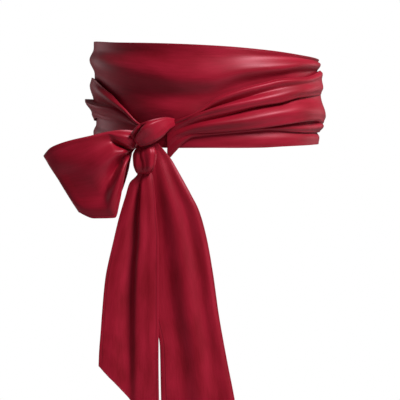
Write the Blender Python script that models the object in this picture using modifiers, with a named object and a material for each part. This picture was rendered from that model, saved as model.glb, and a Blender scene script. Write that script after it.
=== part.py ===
"""Satin sash, wound round a waist and tied in a half bow at the front.

The wide middle of the sash lies over the front. Its two ends cross at the back,
come round the sides as gathered wraps, and are knotted left of the middle, with
one bow loop and two hanging tails. X runs to the right as seen from the front,
Y away from the viewer and Z up. The origin is the middle of the waist hollow,
at the middle of the sash's height. Tables hold millimetres and degrees.
"""
import math
from collections import namedtuple

import bmesh
import bpy
from mathutils import Vector

MM = 0.001

# Driving sizes
WAIST_HALF_WIDTH = 128 * MM
WAIST_HALF_DEPTH = 94 * MM
WALL = 1.2 * MM
BACK_SEAM = 150.0
SEAM_TURN = 0.5

# Satin of the sash
SATIN_COLOUR = (0.30, 0.012, 0.035, 1.0)
SATIN_ROUGHNESS = 0.38

# A row of Edges is one upright cut through a wound stretch: its turn round the waist,
# its top and bottom edge, and how far its inner face lies from the layer below.
Edges = namedtuple("Edges", "turn top bottom lift")

# A row of Ridge is one cut through a fold: the height of its crest, its half width
# and how far it stands proud.
Ridge = namedtuple("Ridge", "turn crest half_width proud")

# A row of Cut is one cut across a ribbon: the places of its two edges, and how far
# its middle bows outwards.
Cut = namedtuple("Cut", "place first_x first_y first_z second_x second_y second_z crown")

# A row of Crease is one cut through a ribbon's fold: how far along and across it
# lies, both as shares, its half width as a share, and its depth (a trough is negative).
Crease = namedtuple("Crease", "place across half_width proud")

PANEL_EDGES = [
    Edges(-150, 60, -58, 0),
    Edges(-90, 62, -55, 0),
    Edges(-49, 56, -62, 0),
    Edges(-12, 51.5, -65.5, 0),
    Edges(12, 48.5, -65.5, 0),
    Edges(33, 45.5, -64, 0),
    Edges(61, 42, -61, 0),
    Edges(90, 40, -58, 0),
    Edges(150, 42, -58, 0),
]

PANEL_RIDGES = [
    [
        Ridge(-125, 42, 14, 0),
        Ridge(-92, 38, 16, 6),
        Ridge(-62, 27, 17, 4.5),
        Ridge(-38, 14, 15, 3),
        Ridge(-14, 8, 12, 0),
    ],
    [
        Ridge(-60, 60, 12, 0),
        Ridge(-34, 44, 15, 2.5),
        Ridge(-8, 24, 18, 3.5),
        Ridge(14, 12, 15, 0),
    ],
    [
        Ridge(-8, 52, 12, 0),
        Ridge(12, 40, 15, 2.5),
        Ridge(38, 32, 12, 3),
        Ridge(70, 33, 9, 2),
        Ridge(105, 34, 8, 0),
    ],
    [
        Ridge(-120, -40, 12, 0),
        Ridge(-88, -44, 12, 3.5),
        Ridge(-62, -50, 10, 0),
    ],
]

RIGHT_WRAP_EDGES = [
    Edges(-20, -36, -78, 1.8),
    Edges(-16, -34, -70, 1.8),
    Edges(-11, -31.5, -58.5, 1.8),
    Edges(-7, -28, -53, 1.8),
    Edges(0, -16.5, -51, 1.8),
    Edges(15, 1.5, -48, 1.8),
    Edges(32, 13.5, -45, 2.2),
    Edges(54, 20.5, -44.5, 2.6),
    Edges(72, 28, -44, 2.6),
    Edges(90, 32, -43, 2.6),
    Edges(110, 30, -45, 2.6),
    Edges(130, 20, -50, 2.4),
    Edges(150, 7, -56, 4.8),
    Edges(157, 3, -57, 5.2),
    Edges(165, 8, -53, 5.2),
    Edges(180, 31, -29, 5.2),
    Edges(190, 48, -10, 5.2),
    Edges(197, 55, 0, 5.0),
    Edges(203, 59, 4, 0.2),
    Edges(206, 60, -30, 0),
    Edges(210, 60, -58, 0),
]

RIGHT_WRAP_RIDGES = [
    [
        Ridge(-16, -40, 6, 0),
        Ridge(-6, -34, 8, 3.5),
        Ridge(2, -23, 9, 5),
        Ridge(15, -11, 13, 5.5),
        Ridge(33, 0, 14, 6),
        Ridge(57, 8, 14, 4.5),
        Ridge(90, 17, 14, 3.5),
        Ridge(125, 8, 14, 2.5),
        Ridge(156, -14, 12, 1.5),
        Ridge(180, 15, 12, 2),
        Ridge(196, 40, 12, 1.5),
        Ridge(203, 46, 10, 0),
    ],
    [
        Ridge(-12, -50, 7, 0),
        Ridge(0, -42, 9, 4),
        Ridge(15, -37, 11, 5.5),
        Ridge(33, -30, 14, 6),
        Ridge(57, -25, 17, 7),
        Ridge(90, -24, 18, 6.5),
        Ridge(125, -30, 16, 4),
        Ridge(156, -42, 12, 2),
        Ridge(180, -14, 12, 2.5),
        Ridge(196, 16, 12, 2),
        Ridge(203, 20, 8, 0),
    ],
]

LEFT_WRAP_EDGES = [
    Edges(-210, 42, -58, 0),
    Edges(-200, 42, -32, 0),
    Edges(-190, 40, -19, 0.2),
    Edges(-180, 31, -29, 1.2),
    Edges(-170, 14, -48, 1.8),
    Edges(-163, -4, -55, 1.8),
    Edges(-157, -7, -57, 1.8),
    Edges(-148, -6, -57, 1.8),
    Edges(-130, 6, -46, 2.2),
    Edges(-110, 20, -31, 3.0),
    Edges(-90, 20, -29, 3.0),
    Edges(-75, 19, -31, 3.0),
    Edges(-60, 7, -33, 3.0),
    Edges(-47, -11, -38.5, 2.2),
    Edges(-36, -29.5, -43, 1.8),
    Edges(-31, -36, -48, 1.8),
]

LEFT_WRAP_RIDGES = [
    [
        Ridge(-140, -26, 14, 0),
        Ridge(-112, -16, 15, 4),
        Ridge(-90, -15, 15, 10),
        Ridge(-74, -19, 13, 7),
        Ridge(-58, -24, 9, 4),
        Ridge(-42, -34, 7, 2),
        Ridge(-34, -40, 5, 0),
    ],
    [
        Ridge(-105, 10, 8, 0),
        Ridge(-86, 9, 9, 1.5),
        Ridge(-66, 0, 10, 4),
        Ridge(-50, -17, 9, 3.5),
        Ridge(-36, -34, 6, 0),
    ],
]

KNOT_BAND_CUTS = [
    Cut(0.00, -38, -93.8, -33, -36, -93.9, -40, 0.5),
    Cut(0.15, -46, -106, -32, -43, -104, -45, 2),
    Cut(0.32, -57, -115, -34, -50, -110, -53, 3.5),
    Cut(0.50, -67, -119, -37, -58, -113, -59, 4),
    Cut(0.68, -76, -116, -41, -66, -113, -62.5, 3.5),
    Cut(0.85, -81, -111, -47, -73, -111, -64, 2),
    Cut(1.00, -80.5, -106, -51, -74, -107, -63, 0.5),
]

KNOT_BAND_CREASES = [
    [
        Crease(0.30, 0.30, 0.20, 0),
        Crease(0.60, 0.30, 0.20, -2.5),
        Crease(0.95, 0.45, 0.22, 0),
    ],
]

KNOT_BALL_CUTS = [
    Cut(0.00, -76, -97, -60, -63, -97, -58, 1),
    Cut(0.18, -79.5, -102.9, -66, -60, -103.3, -64, 3.4),
    Cut(0.42, -83, -105, -75, -57, -106, -73, 6),
    Cut(0.66, -82.5, -105, -84, -58, -106, -83, 6),
    Cut(0.86, -80, -103.5, -91.5, -61, -104.5, -90, 4),
    Cut(1.00, -78, -100.6, -94, -63, -101.6, -92.5, 1),
]

KNOT_BALL_CREASES = [
    [
        Crease(0.10, 0.42, 0.26, 0),
        Crease(0.45, 0.38, 0.28, -3),
        Crease(0.95, 0.40, 0.26, 0),
    ],
]

BOW_LOOP_CUTS = [
    Cut(0.00, -78, -98.3, -47, -78, -93, -62, 0.3),
    Cut(0.07, -84, -101.4, -46, -84, -98, -70, 1.5),
    Cut(0.16, -95, -106, -46, -90, -108, -84, 5),
    Cut(0.27, -111, -109, -48, -94, -112, -106, 6),
    Cut(0.37, -133, -111, -53, -98, -115, -128, 6),
    Cut(0.46, -155, -109, -58, -103, -114, -144, 5),
    Cut(0.54, -175, -104, -65.5, -126, -109, -144.5, 4),
    Cut(0.60, -183, -96, -74, -143, -101, -137, 1),
    Cut(0.66, -175, -88, -72, -128, -93, -139, 1),
    Cut(0.76, -152, -84, -63, -106, -91, -134, 2),
    Cut(0.86, -126, -86, -57, -96, -92, -114, 2),
    Cut(0.95, -100, -89, -53, -88, -93, -88, 1),
    Cut(1.00, -86, -88, -51, -84, -88, -68, 0),
]

BOW_LOOP_CREASES = [
    [
        Crease(0.05, 0.60, 0.16, 0),
        Crease(0.15, 0.58, 0.15, -5),
        Crease(0.28, 0.60, 0.14, -7),
        Crease(0.42, 0.66, 0.14, -2),
        Crease(0.50, 0.70, 0.14, 0),
    ],
    [
        Crease(0.03, 0.18, 0.20, 0),
        Crease(0.10, 0.16, 0.18, 3.5),
        Crease(0.20, 0.12, 0.14, 1.5),
        Crease(0.28, 0.10, 0.12, 0),
    ],
]

TAIL_FRONT_CUTS = [
    Cut(0.000, -75, -98, -84, -65, -98, -84, 0.5),
    Cut(0.035, -78, -98.6, -95, -62, -99.4, -94, 0.5),
    Cut(0.070, -87, -98, -105, -60, -101.5, -103, 0.5),
    Cut(0.110, -91, -98, -118, -58.5, -103, -117, 0.5),
    Cut(0.200, -99, -99, -145, -56, -105, -145, 1),
    Cut(0.280, -104.5, -100, -168, -54, -107, -168, 1),
    Cut(0.430, -114, -103, -213, -54, -110, -213, 1.5),
    Cut(0.560, -117, -106, -245, -54, -112, -254, 2),
    Cut(0.700, -119, -108.5, -273, -54, -114.5, -300, 2),
    Cut(0.850, -120.5, -110.5, -294, -53.5, -117, -345, 1.5),
    Cut(1.000, -121, -111.5, -309, -53, -119, -380, 1),
]

TAIL_FRONT_CREASES = [
    [
        Crease(0.05, 0.40, 0.30, 0),
        Crease(0.11, 0.42, 0.28, -3),
        Crease(0.28, 0.42, 0.24, -4),
        Crease(0.56, 0.45, 0.22, -3),
        Crease(0.90, 0.50, 0.22, -1),
    ],
    [
        Crease(0.06, 0.72, 0.20, 0),
        Crease(0.20, 0.70, 0.20, 2.5),
        Crease(0.50, 0.66, 0.18, 3),
        Crease(0.90, 0.62, 0.18, 1),
    ],
]

TAIL_BACK_CUTS = [
    Cut(0.000, -66, -94.0, -62, -55, -94.6, -60, 0.3),
    Cut(0.045, -66, -93.6, -78, -40.5, -92.2, -78, 0.3),
    Cut(0.080, -66, -93.5, -90, -33.5, -93.6, -90, 0.5),
    Cut(0.150, -66, -93, -118, -18, -96.5, -118, 1),
    Cut(0.200, -66, -93, -137, -9, -97, -136, 1.5),
    Cut(0.280, -66, -94, -169, 0, -97, -169, 2),
    Cut(0.380, -64, -96, -209, 7, -99, -209, 2),
    Cut(0.490, -60, -98, -252, 13, -102, -252, 2),
    Cut(0.600, -53, -101, -288, 21, -105, -297, 2),
    Cut(0.730, -52, -104, -328, 31, -110, -348, 2),
    Cut(0.860, -51, -106, -366, 40.5, -114.5, -402, 2),
    Cut(1.000, -50, -108, -400, 52, -119.5, -470, 1),
]

TAIL_BACK_CREASES = [
    [
        Crease(0.03, 0.50, 0.25, 0),
        Crease(0.15, 0.55, 0.22, 2),
        Crease(0.40, 0.62, 0.20, 3),
        Crease(0.70, 0.55, 0.20, 2),
        Crease(0.98, 0.50, 0.20, 0),
    ],
    [
        Crease(0.12, 0.20, 0.22, 0),
        Crease(0.30, 0.25, 0.20, -2),
        Crease(0.60, 0.28, 0.20, -3),
        Crease(0.95, 0.30, 0.20, 0),
    ],
]


def slope_at(rows, index, column):
    """Slope of the smooth curve at a row, flat at a peak so that it never overshoots."""
    if index in (0, len(rows) - 1):
        return 0.0
    before = rows[index - 1]
    here = rows[index]
    after = rows[index + 1]
    rise_in = (getattr(here, column) - getattr(before, column)) / (here[0] - before[0])
    rise_out = (getattr(after, column) - getattr(here, column)) / (after[0] - here[0])
    if rise_in * rise_out <= 0:
        return 0.0
    return 2 * rise_in * rise_out / (rise_in + rise_out)


def along(rows, column, place):
    """Value of a table's column at a place along its first column."""
    if place <= rows[0][0]:
        return getattr(rows[0], column)
    if place >= rows[-1][0]:
        return getattr(rows[-1], column)
    index = 0
    while rows[index + 1][0] < place:
        index += 1
    step = rows[index + 1][0] - rows[index][0]
    share = (place - rows[index][0]) / step
    start = getattr(rows[index], column)
    end = getattr(rows[index + 1], column)
    slope_start = slope_at(rows, index, column) * step
    slope_end = slope_at(rows, index + 1, column) * step
    ease = share * share * (3 - 2 * share)
    lead_in = share * (1 - share) ** 2
    lead_out = share * share * (share - 1)
    return start + (end - start) * ease + slope_start * lead_in + slope_end * lead_out


def bell(distance):
    """Rounded crest, 1 at its middle and 0 from a distance of 1 on."""
    return max(0.0, 1 - distance * distance) ** 2


def fold_height(folds, turn, height):
    """How far the folds of a wound stretch lift it at a turn and a height."""
    total = 0.0
    for rows in folds:
        crest = along(rows, "crest", turn)
        half_width = along(rows, "half_width", turn)
        total += along(rows, "proud", turn) * bell((height - crest) / half_width)
    return total


def round_waist(turn, height, lift):
    """Point at a turn from the middle of the front, a height and a lift from the waist."""
    angle = math.radians(turn)
    side = math.sin(angle)
    away = -math.cos(angle)
    outward = Vector((side / WAIST_HALF_WIDTH, away / WAIST_HALF_DEPTH, 0)).normalized()
    foot = Vector((side * WAIST_HALF_WIDTH, away * WAIST_HALF_DEPTH, height * MM))
    return foot + outward * lift * MM


def panel_point(share_round, share_up):
    """Inner face of the front panel."""
    turn = BACK_SEAM * (2 * share_round - 1)
    top = along(PANEL_EDGES, "top", turn)
    bottom = along(PANEL_EDGES, "bottom", turn)
    height = bottom + (top - bottom) * share_up
    return round_waist(turn, height, fold_height(PANEL_RIDGES, turn, height))


def wrap_point(edges, ridges, first_turn, last_turn, share_round, share_up):
    """Inner face of a wrap, made from the panel's points and moved out by its lift."""
    turn = first_turn + (last_turn - first_turn) * share_round
    top = along(edges, "top", turn)
    bottom = along(edges, "bottom", turn)
    height = bottom + (top - bottom) * share_up
    lift = along(edges, "lift", turn)
    lift += fold_height(PANEL_RIDGES, turn, height)
    lift += fold_height(ridges, turn, height)
    return round_waist(turn, height, lift)


def edge_point(cuts, edge, place):
    """Point on the first or second edge of a ribbon."""
    values = [along(cuts, edge + axis, place) for axis in ("_x", "_y", "_z")]
    return Vector(values) * MM


def ribbon_point(cuts, creases, place, across):
    """Inner face of a ribbon, bowed and creased between its two edges."""
    first = edge_point(cuts, "first", place)
    second = edge_point(cuts, "second", place)
    step = 0.01
    ahead = min(1.0, place + step)
    behind = max(0.0, place - step)
    run = edge_point(cuts, "first", ahead) + edge_point(cuts, "second", ahead)
    run -= edge_point(cuts, "first", behind) + edge_point(cuts, "second", behind)
    outward = run.cross(second - first).normalized()
    lift = along(cuts, "crown", place) * 4 * across * (1 - across)
    for rows in creases:
        middle = along(rows, "across", place)
        half_width = along(rows, "half_width", place)
        lift += along(rows, "proud", place) * bell((across - middle) / half_width)
    return first.lerp(second, across) + outward * lift * MM


def satin(name):
    """Red satin, smooth and a little shiny."""
    material = bpy.data.materials.new(name)
    material.use_nodes = True
    shader = material.node_tree.nodes["Principled BSDF"]
    shader.inputs["Base Color"].default_value = SATIN_COLOUR
    shader.inputs["Roughness"].default_value = SATIN_ROUGHNESS
    shader.inputs["Metallic"].default_value = 0.0
    return material


def cloth_wall(name, columns, rows, place, collection):
    """Sheet of cloth: a grid whose points are placed by a function, with a wall's thickness."""
    mesh = bpy.data.meshes.new(name)
    grid = bmesh.new()
    bmesh.ops.create_grid(grid, x_segments=columns, y_segments=rows, size=0.5)
    for vertex in grid.verts:
        vertex.co = place(vertex.co.x + 0.5, vertex.co.y + 0.5)
    grid.to_mesh(mesh)
    grid.free()
    mesh.shade_smooth()
    mesh.materials.append(satin(name + "_satin"))
    sheet = bpy.data.objects.new(name, mesh)
    collection.objects.link(sheet)
    wall = sheet.modifiers.new("Wall", "SOLIDIFY")
    wall.thickness = WALL
    wall.offset = 1.0
    return sheet


def make_front_panel(collection):
    """The wide smooth middle of the sash, open at the back."""
    return cloth_wall("front_panel", 64, 9, panel_point, collection)


def make_right_wrap(collection):
    """From the panel's left end across the back and the right side to the knot."""
    last_turn = 360 - BACK_SEAM - SEAM_TURN

    def place(share_round, share_up):
        return wrap_point(RIGHT_WRAP_EDGES, RIGHT_WRAP_RIDGES, -20, last_turn, share_round, share_up)

    return cloth_wall("right_wrap", 76, 11, place, collection)


def make_left_wrap(collection):
    """From the panel's right end across the back and the left side to the knot."""
    first_turn = BACK_SEAM + SEAM_TURN - 360

    def place(share_round, share_up):
        return wrap_point(LEFT_WRAP_EDGES, LEFT_WRAP_RIDGES, first_turn, -31, share_round, share_up)

    return cloth_wall("left_wrap", 54, 9, place, collection)


def make_ribbon(name, cuts, creases, columns, rows, collection):
    """Piece of the sash that leaves the waist: knot, loop or tail."""

    def place(share_along, share_across):
        return ribbon_point(cuts, creases, share_along, share_across)

    return cloth_wall(name, columns, rows, place, collection)


def main():
    for old in list(bpy.data.objects):
        bpy.data.objects.remove(old, do_unlink=True)
    collection = bpy.data.collections.new("satin_sash")
    bpy.context.scene.collection.children.link(collection)
    make_front_panel(collection)
    make_right_wrap(collection)
    make_left_wrap(collection)
    make_ribbon("knot_band", KNOT_BAND_CUTS, KNOT_BAND_CREASES, 18, 8, collection)
    make_ribbon("knot_ball", KNOT_BALL_CUTS, KNOT_BALL_CREASES, 16, 8, collection)
    make_ribbon("bow_loop", BOW_LOOP_CUTS, BOW_LOOP_CREASES, 42, 9, collection)
    make_ribbon("tail_front", TAIL_FRONT_CUTS, TAIL_FRONT_CREASES, 36, 8, collection)
    make_ribbon("tail_back", TAIL_BACK_CUTS, TAIL_BACK_CREASES, 36, 8, collection)


main()
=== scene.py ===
# %% [markdown]
# # A satin sash, tied in a half bow
#
# The real object is one long bag of satin: two strips sewn together along both edges
# and both slanted ends, turned out and pressed. Its wide middle lies over the front
# of the waist, the ends cross at the back, come round the sides as gathered wraps and
# are knotted at the front with one loop and two hanging tails.
#
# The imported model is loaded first, as a fixed frame that every piece has to fit.

# %% Load the frame
import math
from collections import namedtuple

import bmesh
import bpy
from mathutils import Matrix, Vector, noise


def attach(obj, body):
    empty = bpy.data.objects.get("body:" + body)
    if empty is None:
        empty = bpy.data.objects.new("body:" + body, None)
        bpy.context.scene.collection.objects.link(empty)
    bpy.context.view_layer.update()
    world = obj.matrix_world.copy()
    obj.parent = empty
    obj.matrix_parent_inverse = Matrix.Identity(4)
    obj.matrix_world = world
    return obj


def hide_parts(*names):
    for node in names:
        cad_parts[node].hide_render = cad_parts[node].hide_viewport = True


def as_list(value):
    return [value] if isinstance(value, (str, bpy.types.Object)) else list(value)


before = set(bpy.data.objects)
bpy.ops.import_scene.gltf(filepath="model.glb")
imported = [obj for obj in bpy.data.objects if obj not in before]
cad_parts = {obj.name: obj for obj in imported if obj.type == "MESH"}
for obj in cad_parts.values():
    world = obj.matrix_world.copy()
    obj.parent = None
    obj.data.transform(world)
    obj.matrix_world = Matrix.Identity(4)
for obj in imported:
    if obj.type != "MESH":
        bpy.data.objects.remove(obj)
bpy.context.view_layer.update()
MM = 0.001
print("nodes:", ", ".join(sorted(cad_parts)))

# %% [markdown]
# ## Reading a fold from a table
#
# A fold in worn cloth is a line: a crest or a trough that runs along the sash. Each
# line is a short table. A row says where the line is and how far the cloth stands out
# there. Between its rows a line follows a smooth curve that never overshoots, and
# between two lines the cloth passes in a soft S, so a crest stays round and a trough
# lies between two crests. A sculpted mesh could hold the same folds, but a table can
# be read, measured and changed.

# %% Lines of folds
Line = namedtuple("Line", "place height lift")
Cut = namedtuple("Cut", "place first_x first_y first_z second_x second_y second_z")


def slope_at(rows, index, column):
    """Slope of the smooth curve at a row, flat at a peak."""
    if index in (0, len(rows) - 1):
        return 0.0
    before, here, after = rows[index - 1:index + 2]
    rise_in = (here[column] - before[column]) / (here[0] - before[0])
    rise_out = (after[column] - here[column]) / (after[0] - here[0])
    if rise_in * rise_out <= 0:
        return 0.0
    return 2 * rise_in * rise_out / (rise_in + rise_out)


def along(rows, column, place):
    """Value of a table's column at a place along its first column."""
    if place <= rows[0][0]:
        return rows[0][column]
    if place >= rows[-1][0]:
        return rows[-1][column]
    index = 0
    while rows[index + 1][0] < place:
        index += 1
    step = rows[index + 1][0] - rows[index][0]
    share = (place - rows[index][0]) / step
    start = rows[index][column]
    end = rows[index + 1][column]
    slope_start = slope_at(rows, index, column) * step
    slope_end = slope_at(rows, index + 1, column) * step
    ease = share * share * (3 - 2 * share)
    lead_in = share * (1 - share) ** 2
    lead_out = share * share * (share - 1)
    return start + (end - start) * ease + slope_start * lead_in + slope_end * lead_out


def soft_step(share):
    """Soft S from 0 to 1."""
    share = min(1.0, max(0.0, share))
    return share * share * (3 - 2 * share)


def between_lines(places, share):
    """Height and lift at a share of the way through a list of (height, lift) pairs."""
    position = share * (len(places) - 1)
    index = min(int(position), len(places) - 2)
    rest = position - index
    low_height, low_lift = places[index]
    high_height, high_lift = places[index + 1]
    height = low_height + (high_height - low_height) * rest
    return height, low_lift + (high_lift - low_lift) * soft_step(rest)


def lift_at(places, height):
    """Lift of a wound stretch at a height, from its (height, lift) pairs."""
    if height <= places[0][0]:
        return places[0][1]
    for (low, low_lift), (high, high_lift) in zip(places, places[1:]):
        if height <= high:
            return low_lift + (high_lift - low_lift) * soft_step((height - low) / (high - low))
    return places[-1][1]


# %% [markdown]
# ## From waist measures to a wall of cloth
#
# The waist is an oval tube. A point on the sash is found from its turn round the
# waist, in degrees from the middle of the front, its height, and its lift from the
# waist, in millimetres. Each sheet starts as a flat bmesh grid whose points are moved
# to their places. A Solidify modifier then gives the wall of two layers of satin.
# A UV map in metres of cloth goes with it, and so does each point's distance from
# the sewn edge, because the weave and the seam follow the cloth and not the room.

# %% Waist and cloth
WAIST_HALF_WIDTH = 128
WAIST_HALF_DEPTH = 94
WALL = 1.2
CRINKLE = 0.35


def round_waist(turn, height, lift):
    """Point in metres at a turn, a height and a lift from the waist."""
    angle = math.radians(turn)
    side = math.sin(angle)
    away = -math.cos(angle)
    outward = Vector((side / WAIST_HALF_WIDTH, away / WAIST_HALF_DEPTH, 0)).normalized()
    foot = Vector((side * WAIST_HALF_WIDTH, away * WAIST_HALF_DEPTH, height))
    return (foot + outward * lift) * MM


def crinkle(run, across, seed):
    """Faint uneven ripples of thin satin, drawn out along the cloth, from 0 to 1."""
    slow = noise.noise(Vector((run / 34, across / 9, seed)))
    fast = noise.noise(Vector((run / 15, across / 4.5, seed + 7)))
    return 0.5 + 0.35 * slow + 0.15 * fast


def cloth_sheet(name, columns, rows, point, length, width):
    """Wall of cloth from a flat grid. point gives each place from two shares."""
    mesh = bpy.data.meshes.new(name)
    sheet = bmesh.new()
    bmesh.ops.create_grid(sheet, x_segments=columns, y_segments=rows, size=0.5)
    cloth = sheet.loops.layers.uv.new("cloth")
    edge = sheet.verts.layers.float.new("from_edge")
    for face in sheet.faces:
        for loop in face.loops:
            flat = loop.vert.co
            loop[cloth].uv = ((flat.x + 0.5) * length, (flat.y + 0.5) * width)
    for vert in sheet.verts:
        run = vert.co.x + 0.5
        across = vert.co.y + 0.5
        vert[edge] = min(across, 1 - across) * width
        vert.co = point(run, across)
    sheet.to_mesh(mesh)
    sheet.free()
    mesh.shade_smooth()
    piece = bpy.data.objects.new(name, mesh)
    bpy.context.scene.collection.objects.link(piece)
    wall = piece.modifiers.new("Two layers of satin", "SOLIDIFY")
    wall.thickness = WALL * MM
    wall.offset = 1.0
    rim = piece.modifiers.new("Turned edge", "BEVEL")
    rim.width = 0.4 * MM
    rim.segments = 2
    rim.limit_method = "ANGLE"
    rim.angle_limit = math.radians(60)
    print(name, "has", columns * rows, "cells")
    return piece


# %% [markdown]
# ## The front panel
#
# The wide middle of the sash is smooth: only broad folds run over it, pulled towards
# the knot. Its lines run from the bottom edge to the top edge. Where the wraps lie
# over it, it is nearly flat.

# %% Front panel lines
BACK_SEAM = 150

PANEL_LINES = {
    "bottom edge": [
        Line(-150, -58, 0.3), Line(-90, -55, 3), Line(-49, -62, 1), Line(-12, -65.5, 0.5),
        Line(12, -65.5, 0.5), Line(27, -65, 0.8), Line(43, -63, 1.2), Line(61, -61, 2),
        Line(90, -58, 2.5), Line(150, -58, 0.3),
    ],
    "low crest": [
        Line(-150, -46, 0.3), Line(-90, -44, 4.5), Line(-60, -50, 2), Line(-30, -55, 0.8),
        Line(0, -57, 0.8), Line(20, -56, 1.5), Line(43, -54, 2.5), Line(70, -52, 3.5),
        Line(90, -50, 3.5), Line(120, -50, 1), Line(150, -50, 0.3),
    ],
    "low trough": [
        Line(-150, -30, 0.3), Line(-90, -34, 1), Line(-60, -42, 0.5), Line(-30, -44, 0.5),
        Line(0, -46, 0.5), Line(30, -47, 0.5), Line(60, -46, 0.5), Line(90, -45, 1),
        Line(150, -40, 0.3),
    ],
    "crest above the knot": [
        Line(-150, 0, 0.3), Line(-60, -22, 0.5), Line(-42, -23, 1.5), Line(-30, -22, 3),
        Line(-20, -23, 3.5), Line(-8, -26, 3), Line(2, -34, 1), Line(15, -38, 0.5),
        Line(60, -35, 0.5), Line(150, -20, 0.3),
    ],
    "hollow": [
        Line(-150, 20, 0.3), Line(-90, 25, 3), Line(-70, 14, 2), Line(-49, 2, 0.4),
        Line(-30, -5, 0.3), Line(-12, -8, 0.3), Line(0, -7, 0.3), Line(10, 0, 0.3),
        Line(17, 6, 0.3), Line(40, 17, 0.3), Line(55, 22, 0.4), Line(90, 27, 0.5),
        Line(150, 20, 0.3),
    ],
    "main crest": [
        Line(-150, 38, 0.3), Line(-90, 41, 9), Line(-72, 36, 9), Line(-50, 27, 8),
        Line(-30, 20, 7.6), Line(-12, 13, 8), Line(0, 13, 8), Line(17, 21, 8),
        Line(40, 27, 7.6), Line(55, 31, 7), Line(75, 34, 6), Line(90, 35, 4.5),
        Line(112, 32, 2), Line(150, 30, 0.3),
    ],
    "upper trough": [
        Line(-150, 50, 0.3), Line(-90, 54, 4), Line(-49, 47, 1.5), Line(-12, 42, 2),
        Line(12, 40, 2), Line(38, 39, 1), Line(65, 38.5, 0.8), Line(90, 38, 1.8),
        Line(150, 37, 0.3),
    ],
    "top edge": [
        Line(-150, 60, 0.3), Line(-90, 62, 4), Line(-49, 56, 2.5), Line(-12, 51.5, 2),
        Line(12, 48.5, 2), Line(33, 45.5, 2), Line(61, 42, 2.5), Line(90, 41, 3),
        Line(150, 42, 0.3),
    ],
}


def panel_places(turn):
    """(height, lift) of each of the panel's lines at a turn."""
    return [(along(rows, 1, turn), along(rows, 2, turn)) for rows in PANEL_LINES.values()]


def panel_lift(turn, height):
    """How far the panel stands from the waist, 0 past its back edges."""
    if abs(turn) > BACK_SEAM:
        return 0.0
    return lift_at(panel_places(turn), height)


def panel_point(run, across):
    """Inner face of the front panel."""
    turn = BACK_SEAM * (2 * run - 1)
    height, lift = between_lines(panel_places(turn), across)
    ripple = CRINKLE * crinkle(turn * 2.2, height, 3) * (1 - soft_step((abs(turn) - 120) / 20))
    return round_waist(turn, height, lift + ripple)


panel = cloth_sheet("front_panel_cloth", 220, 42, panel_point, 0.60, 0.125)

# %% [markdown]
# ## The two wraps
#
# Each end of the sash comes round its side gathered to half its width. Over the front
# its folds are the ones that can be seen, line by line. Over the back they are plain:
# each line keeps its share of the band's height, from a table of the band's edges.
# A wrap lies on the panel, so its lift starts from the panel's own.

# %% Wraps
SEAM_TURN = 0.5
Edges = namedtuple("Edges", "place top bottom lift")
BackFold = namedtuple("BackFold", "share proud")

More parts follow.
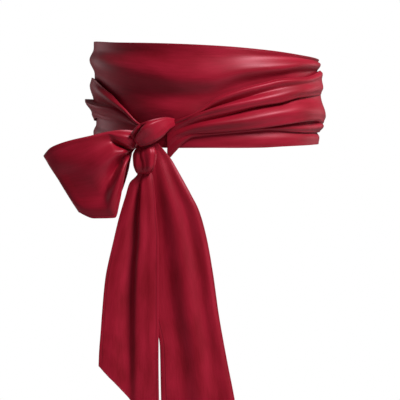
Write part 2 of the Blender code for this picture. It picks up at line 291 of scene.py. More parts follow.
RIGHT_WRAP_LINES = {
    "bottom edge": [
        Line(-20, -78, 0.4), Line(-16, -70, 0.4), Line(-11, -58.5, 0.4), Line(-7, -53.5, 0.4),
        Line(0, -51.5, 0.4), Line(15, -48, 0.4), Line(33, -44.7, 0.6), Line(55, -46, 0.8),
        Line(72, -45, 1), Line(90, -43.5, 1),
    ],
    "roll crest": [
        Line(-20, -70, 1), Line(-16, -63, 1.5), Line(-11, -55.5, 1.8), Line(-7, -51, 1.5),
        Line(0, -50, 1.2), Line(15, -46.8, 1.4), Line(33, -43, 2.2), Line(50, -41.5, 3),
        Line(62, -40.5, 3.4), Line(70, -39, 4.5), Line(76, -38, 6.5), Line(90, -37, 6),
    ],
    "pocket": [
        Line(-20, -65, 0.5), Line(-16, -58, 0.8), Line(-11, -52, 1), Line(-7, -49.5, 1),
        Line(0, -48.8, 1), Line(15, -45.8, 0.8), Line(25, -43.2, 0.5), Line(38, -39, 0.4),
        Line(50, -35.5, 0.4), Line(62, -33, 0.4), Line(70, -32.5, 0.8), Line(76, -34, 4.5),
        Line(90, -34, 5),
    ],
    "pocket lip": [
        Line(-20, -62, 0.8), Line(-16, -55.5, 1.4), Line(-11, -50.5, 2), Line(-7, -48, 2.6),
        Line(0, -47, 3.5), Line(15, -44.6, 4.5), Line(25, -42.4, 5.5), Line(38, -38.2, 7),
        Line(50, -34.3, 8), Line(62, -31.3, 8.5), Line(70, -30.3, 8.5), Line(76, -31.5, 7.5),
        Line(90, -32, 6.5),
    ],
    "lower crest": [
        Line(-20, -58, 1), Line(-16, -52, 2), Line(-12, -48, 3.8), Line(-7, -44, 5.5),
        Line(1, -40, 7.5), Line(20, -34, 9), Line(38, -26, 10.5), Line(55, -22.5, 10.5),
        Line(72, -23, 10), Line(90, -26, 8.5),
    ],
    "deep trough": [
        Line(-20, -50, 0.6), Line(-16, -46, 1), Line(-12, -42, 1.3), Line(-7, -38.5, 1.3),
        Line(1, -34.5, 1), Line(13.5, -26.5, 0.4), Line(25, -18.6, 0.4), Line(38, -13.6, 0.4),
        Line(51, -7, 0.6), Line(78, -2, 1.8), Line(90, 0, 2.6),
    ],
    "middle lip": [
        Line(-20, -48.5, 0.7), Line(-14, -42.5, 1.6), Line(-9, -36.5, 2.8), Line(-4, -31.8, 4.2),
        Line(9, -25, 6), Line(25, -17.2, 7.4), Line(38, -12.6, 7.6), Line(51, -6, 5.6),
        Line(78, 0, 3.4), Line(90, 2.4, 3.4),
    ],
    "middle crest": [
        Line(-20, -46, 0.8), Line(-14, -40, 2.2), Line(-9, -34, 4), Line(-4, -28, 6),
        Line(9, -19.2, 8.5), Line(32, -8.5, 9.5), Line(53, 0.5, 8), Line(90, 8, 5.5),
    ],
    "upper trough": [
        Line(-20, -40, 0.6), Line(-12, -35, 1.6), Line(-7, -30.8, 1.6), Line(0, -23.6, 1.2),
        Line(12, -14, 1.2), Line(20, -8.6, 1.8), Line(30, -1.6, 3.4), Line(41, 4.4, 4.6),
        Line(57, 9.4, 5), Line(90, 18, 4),
    ],
    "upper crest": [
        Line(-20, -38, 0.8), Line(-12, -33.5, 2.8), Line(-7, -29.3, 4.6), Line(5, -12, 6.8),
        Line(15, -3.2, 7.6), Line(29, 5.4, 7.6), Line(38, 10, 7.6), Line(57, 13.6, 6.6),
        Line(90, 24.6, 5),
    ],
    "top edge": [
        Line(-20, -36, 0.4), Line(-16, -34, 1), Line(-11, -31.5, 2), Line(-7, -28, 2.6),
        Line(5, -9.3, 3.2), Line(15, -0.5, 3.4), Line(29, 8, 3.2), Line(38, 12.5, 3.2),
        Line(57, 16, 2.4), Line(90, 28.6, 2),
    ],
}

RIGHT_WRAP_BACK = [
    Edges(90, 28.6, -43.5, 2.6), Edges(110, 30, -45, 2.6), Edges(130, 20, -50, 2.6),
    Edges(150, 7, -56, 4.8), Edges(157, 3, -57, 5.2), Edges(165, 8, -53, 5.2),
    Edges(180, 31, -29, 5.2), Edges(190, 48, -10, 5.2), Edges(197, 55, 0, 5),
    Edges(203, 59, 4, 0.2), Edges(206, 60, -30, 0), Edges(210, 60, -58, 0),
]

RIGHT_WRAP_BACK_FOLDS = [
    BackFold(0, 0), BackFold(0.10, 1.6), BackFold(0.17, 0.2), BackFold(0.22, 1.6),
    BackFold(0.33, 3.2), BackFold(0.47, 0.2), BackFold(0.52, 1.8), BackFold(0.64, 3.0),
    BackFold(0.77, 0.2), BackFold(0.90, 2.4), BackFold(1, 0.2),
]

LEFT_WRAP_LINES = {
    "bottom edge": [
        Line(-90, -30, 1), Line(-79, -28, 1), Line(-60, -33, 0.6), Line(-47, -37, 0.4),
        Line(-36, -42, 0.4), Line(-31, -46, 0.4),
    ],
    "under the lip": [
        Line(-90, -22, 4), Line(-79, -23, 3), Line(-60, -29.5, 1.2), Line(-47, -34.8, 0.6),
        Line(-36, -40.8, 0.5), Line(-31, -45, 0.4),
    ],
    "pocket lip": [
        Line(-90, -6, 12), Line(-78, -11.5, 11), Line(-65, -16.5, 8.4), Line(-55, -20, 6),
        Line(-45, -27.8, 4), Line(-36, -39.3, 2), Line(-31, -44, 0.4),
    ],
    "pocket": [
        Line(-90, -6.5, 1.6), Line(-78, -11, 1), Line(-65, -14.5, 1.2), Line(-55, -17, 2.4),
        Line(-45, -25.4, 2.4), Line(-36, -38.7, 1.6), Line(-31, -43, 0.4),
    ],
    "upper crest": [
        Line(-90, 10, 4.5), Line(-78, 8, 5), Line(-65, 1, 7), Line(-55, -8.5, 7.5),
        Line(-45, -20.5, 6), Line(-36, -37.8, 2.6), Line(-31, -42, 0.8),
    ],
    "top edge": [
        Line(-90, 20, 1.8), Line(-79, 18.3, 2.2), Line(-55, -2.5, 4), Line(-47, -15.5, 3.8),
        Line(-40, -28.5, 3), Line(-36, -36.9, 1.8), Line(-31, -41, 0.6),
    ],
}

LEFT_WRAP_BACK = [
    Edges(-210, 42, -58, 0), Edges(-200, 42, -32, 0), Edges(-190, 40, -19, 0.2),
    Edges(-180, 31, -29, 1.2), Edges(-170, 14, -48, 1.8), Edges(-163, -4, -55, 1.8),
    Edges(-157, -7, -57, 1.8), Edges(-148, -6, -57, 1.8), Edges(-130, 6, -46, 2.4),
    Edges(-110, 20, -31, 3.0), Edges(-90, 20, -30, 3.0),
]

LEFT_WRAP_BACK_FOLDS = [
    BackFold(0, 0), BackFold(0.18, 1.2), BackFold(0.40, 2.4), BackFold(0.56, 0.2),
    BackFold(0.82, 2.0), BackFold(1, 0.2),
]

BLEND_TURN = 24
OVER_PANEL = 1.9


def wrap_places(lines, back, back_folds, first_side, turn):
    """(height, lift) of each of a wrap's lines, from the front's lines and the back's rule."""
    front_share = 1 - soft_step((abs(turn) - abs(first_side)) / BLEND_TURN)
    top = along(back, 1, turn)
    bottom = along(back, 2, turn)
    lift = along(back, 3, turn)
    calm = soft_step((210 - abs(turn)) / 12)
    places = []
    for rows, fold in zip(lines.values(), back_folds):
        back_height = bottom + (top - bottom) * fold.share
        back_lift = lift + fold.proud * calm * min(1.0, 0.35 + lift / 4)
        height = back_height
        total = back_lift
        if front_share > 0:
            here = max(-abs(first_side), min(abs(first_side), turn))
            height = along(rows, 1, here) * front_share + back_height * (1 - front_share)
            total = (OVER_PANEL + along(rows, 2, here)) * front_share + back_lift * (1 - front_share)
        places.append((height, total))
    return places


def wrap_sheet(name, lines, back, back_folds, first_turn, last_turn, side, columns, rows, seed):
    """One wrap, from its lines, laid over the panel."""

    def point(run, across):
        turn = first_turn + (last_turn - first_turn) * run
        places = wrap_places(lines, back, back_folds, side, turn)
        height, lift = between_lines(places, across)
        lift += panel_lift(turn, height) + CRINKLE * crinkle(turn * 2.2, height, seed)
        return round_waist(turn, height, lift)

    length = abs(last_turn - first_turn) / 360 * 0.72
    return cloth_sheet(name, columns, rows, point, length, 0.075)


right_wrap = wrap_sheet(
    "right_wrap_cloth", RIGHT_WRAP_LINES, RIGHT_WRAP_BACK, RIGHT_WRAP_BACK_FOLDS,
    -20, 360 - BACK_SEAM - SEAM_TURN, 90, 220, 70, 11,
)
left_wrap = wrap_sheet(
    "left_wrap_cloth", LEFT_WRAP_LINES, LEFT_WRAP_BACK, LEFT_WRAP_BACK_FOLDS,
    BACK_SEAM + SEAM_TURN - 360, -31, 90, 180, 40, 17,
)

# %% [markdown]
# ## Ribbons: knot, loop and tails
#
# What leaves the waist is a ribbon. A row of a ribbon's table is one cut across it,
# given by the places of its two edges, and its folds are lines that run along it,
# each with a share across the ribbon and a lift. A curve with a bevel could sweep a
# ribbon, but it can't open from a tight knot into a wide loop, and this can.

# %% Ribbon helper


def edge_point(cuts, first_column, place):
    """Point in millimetres on one edge of a ribbon."""
    return Vector([along(cuts, first_column + axis, place) for axis in range(3)])


def ribbon_sheet(name, cuts, lines, columns, rows, length, width, seed):
    """Ribbon between the two edges of its cuts, folded along its lines."""

    def point(run, across):
        first = edge_point(cuts, 1, run)
        second = edge_point(cuts, 4, run)
        ahead = min(1.0, run + 0.01)
        behind = max(0.0, run - 0.01)
        way = edge_point(cuts, 1, ahead) + edge_point(cuts, 4, ahead)
        way -= edge_point(cuts, 1, behind) + edge_point(cuts, 4, behind)
        outward = way.cross(second - first).normalized()
        places = [(along(line, 1, run), along(line, 2, run)) for line in lines.values()]
        share, lift = between_lines(places, across)
        reach = (second - first).length
        lift += CRINKLE * (crinkle(run * length * 1000, share * reach, seed) - 0.5)
        return (first.lerp(second, share) + outward * lift) * MM

    return cloth_sheet(name, columns, rows, point, length, width)


# %% [markdown]
# ### The knot
#
# Two turns of cloth show: the upper one slants from the right wrap down to the left
# and has two sharp pinched folds at its left end. The lower one is a rounded turn
# that the tails hang from.

# %% Knot
KNOT_BAND_CUTS = [
    Cut(0.00, -38, -93.8, -33, -36, -93.9, -40),
    Cut(0.15, -46, -106, -32, -43, -104, -45),
    Cut(0.32, -57, -115, -34, -50, -110, -53),
    Cut(0.50, -67, -119, -37, -58, -113, -59),
    Cut(0.68, -76, -116, -41, -66, -113, -62.5),
    Cut(0.85, -81, -111, -47, -73, -111, -64),
    Cut(1.00, -80.5, -106, -51, -74, -107, -63),
]

KNOT_BAND_LINES = {
    "upper edge": [Line(0, 0, 0), Line(1, 0, 0)],
    "left fold": [
        Line(0, 0.02, 0.1), Line(0.62, 0.03, 1), Line(0.74, 0.06, 4), Line(0.85, 0.12, 5.4),
        Line(0.93, 0.2, 4.6), Line(1, 0.34, 0.8),
    ],
    "pinch": [
        Line(0, 0.06, 0.2), Line(0.5, 0.06, 0.6), Line(0.62, 0.13, -2.4), Line(0.74, 0.24, -4.5),
        Line(0.85, 0.38, -4.5), Line(1, 0.48, -0.6),
    ],
    "right fold": [
        Line(0, 0.15, 0.4), Line(0.2, 0.14, 1.6), Line(0.45, 0.15, 4.2), Line(0.62, 0.22, 6.4),
        Line(0.74, 0.36, 6), Line(0.85, 0.52, 4.2), Line(1, 0.6, 0.6),
    ],
    "front face": [
        Line(0, 0.6, 0.5), Line(0.3, 0.6, 3), Line(0.6, 0.66, 3), Line(0.85, 0.76, 2),
        Line(1, 0.78, 0.4),
    ],
    "under face": [
        Line(0, 0.85, 0.3), Line(0.3, 0.86, 2.2), Line(0.6, 0.88, 2.4), Line(0.85, 0.9, 1.4),
        Line(1, 0.9, 0.2),
    ],
    "lower edge": [Line(0, 1, 0), Line(1, 1, 0)],
}

KNOT_BALL_CUTS = [
    Cut(0.00, -76, -97, -60, -63, -97, -58),
    Cut(0.18, -79.5, -102.9, -66, -60, -103.3, -64),
    Cut(0.42, -83, -105, -75, -57, -106, -73),
    Cut(0.66, -82.5, -105, -84, -58, -106, -83),
    Cut(0.86, -80, -103.5, -91.5, -61, -104.5, -90),
    Cut(1.00, -78, -100.6, -94, -63, -101.6, -92.5),
]

KNOT_BALL_LINES = {
    "left edge": [Line(0, 0, 0), Line(1, 0, 0)],
    "left fold": [Line(0, 0.15, 0.5), Line(0.4, 0.16, 1.8), Line(0.7, 0.14, 1.4), Line(1, 0.15, 0.3)],
    "dark pleat": [Line(0, 0.36, 0.4), Line(0.4, 0.3, 1), Line(0.7, 0.4, 1.6), Line(1, 0.4, 0.5)],
    "slanted fold": [Line(0, 0.5, 0.6), Line(0.4, 0.44, 3.4), Line(0.7, 0.56, 3.6), Line(1, 0.52, 0.6)],
    "stripe": [Line(0, 0.74, 1), Line(0.4, 0.76, 6), Line(0.7, 0.78, 5.6), Line(1, 0.74, 1)],
    "right side": [Line(0, 0.9, 0.5), Line(0.4, 0.92, 3.6), Line(0.7, 0.92, 3.4), Line(1, 0.9, 0.5)],
    "right edge": [Line(0, 1, 0), Line(1, 1, 0)],
}

knot_band = ribbon_sheet("knot_band_cloth", KNOT_BAND_CUTS, KNOT_BAND_LINES, 80, 48, 0.055, 0.028, 23)
knot_ball = ribbon_sheet("knot_ball_cloth", KNOT_BALL_CUTS, KNOT_BALL_LINES, 56, 48, 0.045, 0.028, 29)

# %% [markdown]
# ### The bow loop
#
# The loop leaves the knot as a tight tube, opens to the full width of the cloth,
# turns at its far end and comes back behind itself. A deep crease runs out from the
# knot, and the lower part bellies out below it.

# %% Bow loop
BOW_LOOP_CUTS = [
    Cut(0.00, -78, -98.3, -47, -78, -93, -62),
    Cut(0.07, -84, -101.4, -46, -84, -98, -70),
    Cut(0.16, -95, -106, -46, -90, -108, -84),
    Cut(0.27, -111, -109, -48, -94, -112, -106),
    Cut(0.37, -133, -111, -53, -98, -115, -128),
    Cut(0.46, -155, -109, -58, -103, -114, -144),
    Cut(0.54, -175, -104, -65.5, -126, -109, -144.5),
    Cut(0.60, -183, -96, -74, -143, -101, -137),
    Cut(0.66, -175, -88, -72, -128, -93, -139),
    Cut(0.76, -152, -84, -63, -106, -91, -134),
    Cut(0.86, -126, -86, -57, -96, -92, -114),
    Cut(0.95, -100, -89, -53, -88, -93, -88),
    Cut(1.00, -86, -88, -51, -84, -88, -68),
]

BOW_LOOP_LINES = {
    "upper edge": [Line(0, 0, 0), Line(1, 0, 0)],
    "tube": [
        Line(0, 0.35, 1), Line(0.07, 0.38, 6), Line(0.12, 0.30, 7), Line(0.16, 0.22, 6),
        Line(0.22, 0.12, 4), Line(0.27, 0.04, 1.5), Line(0.32, 0.03, 0.5), Line(1, 0.05, 0),
    ],
    "under the tube": [
        Line(0, 0.75, 0), Line(0.07, 0.76, 4), Line(0.12, 0.58, 5), Line(0.16, 0.40, 4.5),
        Line(0.22, 0.20, 3), Line(0.27, 0.07, 0.8), Line(0.32, 0.06, 0.3), Line(1, 0.1, 0),
    ],
    "hollow": [
        Line(0, 0.86, -0.5), Line(0.07, 0.85, -3), Line(0.12, 0.66, -6), Line(0.16, 0.50, -7),
        Line(0.20, 0.37, -5.5), Line(0.24, 0.26, -3), Line(0.28, 0.18, -0.5), Line(0.4, 0.2, 1),
        Line(0.6, 0.2, 0.4), Line(1, 0.2, 0.2),
    ],
    "lit ridge": [
        Line(0, 0.91, -0.5), Line(0.07, 0.90, -2), Line(0.12, 0.76, -1), Line(0.16, 0.64, 2.5),
        Line(0.2, 0.54, 5.5), Line(0.28, 0.42, 7), Line(0.37, 0.4, 4.5), Line(0.46, 0.4, 0.5),
        Line(0.54, 0.4, -2.5), Line(0.6, 0.4, 0), Line(1, 0.4, 0.3),
    ],
    "crease": [
        Line(0, 0.95, 0), Line(0.07, 0.94, -2.5), Line(0.12, 0.86, -4), Line(0.16, 0.79, -6),
        Line(0.2, 0.72, -7.5), Line(0.28, 0.66, -7), Line(0.37, 0.66, -4.5), Line(0.46, 0.7, -2.5),
        Line(0.54, 0.7, -2), Line(0.6, 0.7, 0.4), Line(1, 0.7, 0.3),
    ],
    "lower belly": [
        Line(0, 0.98, 0), Line(0.07, 0.97, -0.5), Line(0.12, 0.94, 0), Line(0.16, 0.90, 3),
        Line(0.2, 0.86, 5.5), Line(0.28, 0.84, 7.5), Line(0.37, 0.85, 5.5), Line(0.5, 0.87, 1.5),
        Line(0.6, 0.86, 0.4), Line(1, 0.86, 0.2),
    ],
    "lower edge": [
        Line(0, 1, 0), Line(0.2, 1, -2), Line(0.3, 1, -3), Line(0.4, 1, -2), Line(0.5, 1, 0),
        Line(1, 1, 0),
    ],
}

bow_loop = ribbon_sheet("bow_loop_cloth", BOW_LOOP_CUTS, BOW_LOOP_LINES, 150, 64, 0.21, 0.09, 31)

# %% [markdown]
# ### The tails
#
# Both ends hang from the knot and widen as their gathers open. The front one keeps a
# folded strip down its middle with a wing set back to its left. Each ends in a hem
# cut on a slant, where the two layers are sewn and turned.

# %% Tails
TAIL_FRONT_CUTS = [
    Cut(0.000, -75, -98, -84, -65, -98, -84),
    Cut(0.035, -78, -98.6, -95, -62, -99.4, -94),
    Cut(0.070, -87, -98, -105, -60, -101.5, -103),
    Cut(0.110, -91, -98, -118, -58.5, -103, -117),
    Cut(0.200, -99, -99, -145, -56, -105, -145),
    Cut(0.280, -104.5, -100, -168, -54, -107, -168),
    Cut(0.430, -114, -103, -213, -54, -110, -213),
    Cut(0.560, -117, -106, -245, -54, -112, -254),
    Cut(0.700, -119, -108.5, -273, -54, -114.5, -300),
    Cut(0.850, -120.5, -110.5, -294, -53.5, -117, -345),
    Cut(1.000, -121, -111.5, -309, -53, -119, -380),
]

TAIL_FRONT_LINES = {
    "left edge": [Line(0, 0, 0), Line(1, 0, 0)],
    "wing": [Line(0, 0.15, 0.2), Line(0.1, 0.2, 0), Line(0.5, 0.18, -0.5), Line(1, 0.2, 0.6)],
    "step": [
        Line(0, 0.3, 0), Line(0.07, 0.4, -1), Line(0.11, 0.42, -4), Line(0.28, 0.46, -5),
        Line(0.56, 0.48, -4), Line(1, 0.5, -1),
    ],
    "strip crest": [
        Line(0, 0.5, 0.4), Line(0.07, 0.56, 1), Line(0.11, 0.56, 2.5), Line(0.28, 0.6, 3.2),
        Line(0.56, 0.62, 3), Line(1, 0.64, 1.6),
    ],
    "strip": [
        Line(0, 0.75, 0.4), Line(0.11, 0.78, 1.6), Line(0.28, 0.8, 1.4), Line(0.56, 0.82, 1.6),
        Line(1, 0.82, 0.8),
    ],
    "right edge": [Line(0, 1, 0), Line(1, 1, 0)],
}

TAIL_BACK_CUTS = [
    Cut(0.000, -66, -94.0, -62, -55, -94.6, -60),
    Cut(0.045, -66, -93.6, -78, -40.5, -92.2, -78),
    Cut(0.080, -66, -93.5, -90, -33.5, -93.6, -90),
    Cut(0.150, -66, -93, -118, -18, -96.5, -118),
    Cut(0.200, -66, -93, -137, -9, -97, -136),
    Cut(0.280, -66, -94, -169, 0, -97, -169),
    Cut(0.380, -64, -96, -209, 7, -99, -209),
    Cut(0.490, -60, -98, -252, 13, -102, -252),
    Cut(0.600, -53, -101, -288, 21, -105, -297),
    Cut(0.730, -52, -104, -328, 31, -110, -348),
    Cut(0.860, -51, -106, -366, 40.5, -114.5, -402),
    Cut(1.000, -50, -108, -400, 52, -119.5, -470),
]

TAIL_BACK_LINES = {
    "left edge": [Line(0, 0, 0), Line(1, 0, 0)],
    "left trough": [Line(0, 0.2, 0), Line(0.12, 0.2, 0.4), Line(0.3, 0.25, -1.5), Line(0.6, 0.28, -2), Line(1, 0.3, 0)],
    "middle crest": [Line(0, 0.45, 0.2), Line(0.15, 0.48, 3), Line(0.4, 0.55, 4.5), Line(0.7, 0.55, 3.5), Line(1, 0.52, 1)],
    "right trough": [Line(0, 0.7, 0.1), Line(0.15, 0.72, 0.8), Line(0.4, 0.78, 0.6), Line(0.7, 0.78, 1), Line(1, 0.75, 0.6)],
    "right roll": [Line(0, 0.88, 0.1), Line(0.15, 0.9, 1.6), Line(0.4, 0.92, 1.8), Line(0.7, 0.92, 1.4), Line(1, 0.9, 0.5)],
    "right edge": [Line(0, 1, 0), Line(1, 1, 0)],
}

tail_front = ribbon_sheet("tail_front_cloth", TAIL_FRONT_CUTS, TAIL_FRONT_LINES, 120, 35, 0.30, 0.075, 37)
tail_back = ribbon_sheet("tail_back_cloth", TAIL_BACK_CUTS, TAIL_BACK_LINES, 150, 35, 0.40, 0.09, 41)

# %% [markdown]
# ## The satin
#
# Satin's warp threads float over many others, so it is smooth and mirror-like along
# them and still a cloth across them. The colour group mixes two crimsons in slow
# patches and darkens the pressed seam near each edge. The bump group adds fine
# ribs of weft, a slub here and there, and the seam's groove. Both read the cloth's
# own UV map in metres, so they stay with it through every fold.

# %% Satin groups
SEAM_INSET = 0.004
SEAM_WIDTH = 0.0007


def add_node(tree, kind, **settings):
    """New node with its settings."""
    node = tree.nodes.new(kind)
    for key, value in settings.items():
        setattr(node, key, value)
    return node


def new_group(name, inputs, outputs):
    """Shader node group with named inputs and outputs."""
    group = bpy.data.node_groups.new(name, "ShaderNodeTree")
    for label, kind, default in inputs:
        socket = group.interface.new_socket(name=label, in_out="INPUT", socket_type=kind)
        socket.default_value = default
    for label, kind in outputs:
        group.interface.new_socket(name=label, in_out="OUTPUT", socket_type=kind)
    return group, add_node(group, "NodeGroupInput"), add_node(group, "NodeGroupOutput")


def cloth_position(tree, across_scale, along_scale):
    """UV of the cloth, stretched by a Mapping node."""
    place = add_node(tree, "ShaderNodeUVMap", uv_map="cloth")
    mapping = add_node(tree, "ShaderNodeMapping")
    mapping.inputs["Scale"].default_value = (along_scale, across_scale, 1)
    tree.links.new(place.outputs["UV"], mapping.inputs["Vector"])
    return mapping.outputs["Vector"]


def seam_mask(tree):
    """1 on the line of the pressed seam, near each edge."""
    edge = add_node(tree, "ShaderNodeAttribute", attribute_name="from_edge")
    away = add_node(tree, "ShaderNodeMath", operation="SUBTRACT")
    away.inputs[1].default_value = SEAM_INSET
    size = add_node(tree, "ShaderNodeMath", operation="ABSOLUTE")
    mask = add_node(tree, "ShaderNodeMapRange", interpolation_type="SMOOTHSTEP")
    mask.inputs["From Min"].default_value = 0
    mask.inputs["From Max"].default_value = SEAM_WIDTH
    mask.inputs["To Min"].default_value = 1
    mask.inputs["To Max"].default_value = 0
    tree.links.new(edge.outputs["Fac"], away.inputs[0])
    tree.links.new(away.outputs[0], size.inputs[0])
    tree.links.new(size.outputs[0], mask.inputs["Value"])
    return mask.outputs["Result"]


def make_colour_group():
    """Crimson in slow patches, with a darker pressed seam."""
    group, source, result = new_group(
        "satin_colour",
        [("Deep", "NodeSocketColor", (0.2, 0.005, 0.02, 1)), ("Bright", "NodeSocketColor", (0.4, 0.02, 0.06, 1)),
         ("Seam", "NodeSocketFloat", 0.3)],
        [("Colour", "NodeSocketColor")],
    )
    patches = add_node(group, "ShaderNodeTexNoise")
    patches.inputs["Scale"].default_value = 1.0
    patches.inputs["Detail"].default_value = 3.0
    group.links.new(cloth_position(group, 60, 18), patches.inputs["Vector"])
    weft = add_node(group, "ShaderNodeTexNoise")
    weft.inputs["Scale"].default_value = 1.0
    weft.inputs["Detail"].default_value = 2.0
    group.links.new(cloth_position(group, 900, 40), weft.inputs["Vector"])
    share = add_node(group, "ShaderNodeMath", operation="MULTIPLY_ADD")
    share.inputs[1].default_value = 0.35
    group.links.new(weft.outputs["Fac"], share.inputs[0])
    group.links.new(patches.outputs["Fac"], share.inputs[2])
    spread = add_node(group, "ShaderNodeMapRange")
    spread.inputs["From Min"].default_value = 0.45
    spread.inputs["From Max"].default_value = 0.9
    group.links.new(share.outputs[0], spread.inputs["Value"])
    mix = add_node(group, "ShaderNodeMix", data_type="RGBA")
    group.links.new(spread.outputs["Result"], mix.inputs["Factor"])
    group.links.new(source.outputs["Deep"], mix.inputs["A"])
    group.links.new(source.outputs["Bright"], mix.inputs["B"])
    dark = add_node(group, "ShaderNodeMath", operation="MULTIPLY")
    group.links.new(seam_mask(group), dark.inputs[0])
    group.links.new(source.outputs["Seam"], dark.inputs[1])
    shade = add_node(group, "ShaderNodeMix", data_type="RGBA")
    shade.inputs["B"].default_value = (0.04, 0.001, 0.004, 1)
    group.links.new(dark.outputs[0], shade.inputs["Factor"])
    group.links.new(mix.outputs["Result"], shade.inputs["A"])
    group.links.new(shade.outputs["Result"], result.inputs["Colour"])
    return group


def make_height_group():
    """Fine ribs of weft with slubs, and the groove of the pressed seam."""
    group, source, result = new_group(
        "satin_height",
        [("Weave", "NodeSocketFloat", 1.0), ("Seam", "NodeSocketFloat", 1.0)],
        [("Height", "NodeSocketFloat")],
    )
    ribs = add_node(group, "ShaderNodeTexNoise")
    ribs.inputs["Scale"].default_value = 1.0
    ribs.inputs["Detail"].default_value = 3.0
    group.links.new(cloth_position(group, 1500, 60), ribs.inputs["Vector"])
    weave = add_node(group, "ShaderNodeMath", operation="MULTIPLY")
    group.links.new(ribs.outputs["Fac"], weave.inputs[0])
    group.links.new(source.outputs["Weave"], weave.inputs[1])
    groove = add_node(group, "ShaderNodeMath", operation="MULTIPLY")
    group.links.new(seam_mask(group), groove.inputs[0])
    group.links.new(source.outputs["Seam"], groove.inputs[1])
    total = add_node(group, "ShaderNodeMath", operation="SUBTRACT")
    group.links.new(weave.outputs[0], total.inputs[0])
    group.links.new(groove.outputs[0], total.inputs[1])
    group.links.new(total.outputs[0], result.inputs["Height"])
    return group


colour_group = make_colour_group()
height_group = make_height_group()


def satin(name, deep, bright, roughness, weave):
    """Crimson satin with its own two colours, gloss and depth of weave."""
    material = bpy.data.materials.new(name)
    material.use_nodes = True
    tree = material.node_tree
    shader = tree.nodes["Principled BSDF"]
    colour = add_node(tree, "ShaderNodeGroup", node_tree=colour_group)
    colour.inputs["Deep"].default_value = (*deep, 1)
    colour.inputs["Bright"].default_value = (*bright, 1)
    colour.inputs["Seam"].default_value = 0.45
    height = add_node(tree, "ShaderNodeGroup", node_tree=height_group)
    height.inputs["Weave"].default_value = weave
    height.inputs["Seam"].default_value = 1.2
    bump = add_node(tree, "ShaderNodeBump")
    bump.inputs["Strength"].default_value = 0.35
    bump.inputs["Distance"].default_value = 0.0003
    tree.links.new(colour.outputs["Colour"], shader.inputs["Base Color"])
    tree.links.new(height.outputs["Height"], bump.inputs["Height"])
    tree.links.new(bump.outputs["Normal"], shader.inputs["Normal"])
    shader.inputs["Roughness"].default_value = roughness
    shader.inputs["Specular IOR Level"].default_value = 0.4
    shader.inputs["Specular Tint"].default_value = (1.0, 0.45, 0.55, 1)
    shader.inputs["Sheen Weight"].default_value = 0.03
    shader.inputs["Sheen Roughness"].default_value = 0.35
    shader.inputs["Sheen Tint"].default_value = (1.0, 0.75, 0.8, 1)
    return material


DEEP_CRIMSON = (0.19, 0.002, 0.009)
BRIGHT_CRIMSON = (0.31, 0.007, 0.024)
band_satin = satin("band_satin", DEEP_CRIMSON, BRIGHT_CRIMSON, 0.44, 1.0)
bow_satin = satin("bow_satin", DEEP_CRIMSON, BRIGHT_CRIMSON, 0.42, 0.8)
tail_satin = satin("tail_satin", DEEP_CRIMSON, BRIGHT_CRIMSON, 0.44, 1.1)

# %% [markdown]
# ## Putting each piece on the body
#
# Each sheet rides on the one body, stands for its solid and takes the satin slot. Its row
# also gives its cut, the flat size of what shows, gathered or hung, which nothing reads.

# %% Roles
PIECES = [
    (panel, "front_panel", band_satin, (0.60, 0.13), None, "gathered", []),
    (right_wrap, "right_wrap", band_satin, (0.52, 0.07), None, "gathered", ["front_panel"]),
    (left_wrap, "left_wrap", band_satin, (0.42, 0.055), None, "gathered", ["front_panel"]),
    (knot_band, "knot_band", bow_satin, (0.055, 0.03), None, "folded", ["right_wrap"]),
    (knot_ball, "knot_ball", bow_satin, (0.045, 0.03), None, "folded", ["knot_band"]),
    (bow_loop, "bow_loop", bow_satin, (0.21, 0.085), None, "folded", ["knot_band"]),
    (tail_front, "tail_front", tail_satin, (0.30, 0.075), 0.0175, "hung", ["knot_ball"]),
    (tail_back, "tail_back", tail_satin, (0.40, 0.09), 0.030, "hung", ["right_wrap"]),
]

for piece, node, material, flat, area, held, rests_on in PIECES:
    piece.data.materials.append(material)
    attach(piece, "root")
    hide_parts(node)
    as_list(rests_on)

# %% [markdown]
# ## Camera, floor and light
#
# The camera looks level from two metres in front, framed so that the hanging ends
# run out of the picture. A large soft light from the upper right draws the crests,
# and a pale surround fills the shadows.

# %% Camera, floor and light
CAMERA_DISTANCE = 2.0
CAMERA_SIDE = -0.008
CAMERA_HEIGHT = -0.124
FRAME_WIDTH = 0.472
SENSOR = 36

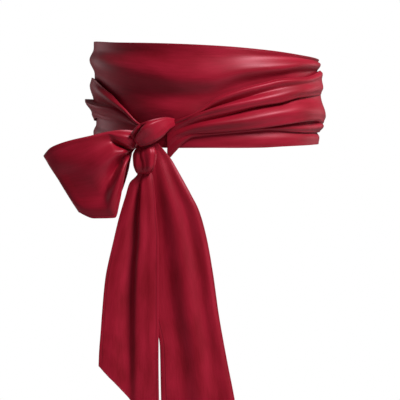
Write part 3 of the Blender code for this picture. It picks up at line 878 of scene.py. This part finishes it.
camera_data = bpy.data.cameras.new("camera")
camera_data.sensor_width = SENSOR
camera_data.lens = SENSOR * CAMERA_DISTANCE / FRAME_WIDTH
camera = bpy.data.objects.new("camera", camera_data)
camera.location = (CAMERA_SIDE, -CAMERA_DISTANCE, CAMERA_HEIGHT)
camera.rotation_euler = (math.radians(90), 0, 0)
bpy.context.scene.collection.objects.link(camera)
bpy.context.scene.camera = camera

floor_mesh = bpy.data.meshes.new("floor")
floor_grid = bmesh.new()
bmesh.ops.create_grid(floor_grid, x_segments=1, y_segments=1, size=1.2)
bmesh.ops.translate(floor_grid, verts=floor_grid.verts, vec=(0, 0, -0.62))
floor_grid.to_mesh(floor_mesh)
floor_grid.free()
floor = bpy.data.objects.new("floor", floor_mesh)
bpy.context.scene.collection.objects.link(floor)
pale = bpy.data.materials.new("pale_floor")
pale.use_nodes = True
pale.node_tree.nodes["Principled BSDF"].inputs["Base Color"].default_value = (0.6, 0.6, 0.6, 1)
pale.node_tree.nodes["Principled BSDF"].inputs["Roughness"].default_value = 0.9
floor_mesh.materials.append(pale)


def area_light(name, place, target, size, power):
    """Soft square light that looks at a target."""
    data = bpy.data.lights.new(name, "AREA")
    data.size = size
    data.energy = power
    light = bpy.data.objects.new(name, data)
    light.location = place
    light.rotation_euler = (Vector(target) - Vector(place)).to_track_quat("-Z", "Y").to_euler()
    bpy.context.scene.collection.objects.link(light)
    return light


area_light("key", (1.3, -1.15, 1.6), (-0.02, 0, -0.1), 0.8, 92)
area_light("left edge", (-1.7, 0.7, 0.2), (0, 0, -0.1), 1.2, 7)
area_light("right edge", (1.7, 0.7, 0.1), (0, 0, -0.1), 1.2, 6)

world = bpy.data.worlds.new("studio")
world.use_nodes = True
bpy.context.scene.world = world
surround = world.node_tree.nodes["Background"]
surround.inputs["Color"].default_value = (1, 1, 1, 1)
seen = world.node_tree.nodes.new("ShaderNodeLightPath")
strength = world.node_tree.nodes.new("ShaderNodeMapRange")
strength.inputs["To Min"].default_value = 0.13
strength.inputs["To Max"].default_value = 1.0
world.node_tree.links.new(seen.outputs["Is Camera Ray"], strength.inputs["Value"])
world.node_tree.links.new(strength.outputs["Result"], surround.inputs["Strength"])
bpy.context.scene.view_settings.view_transform = "Standard"
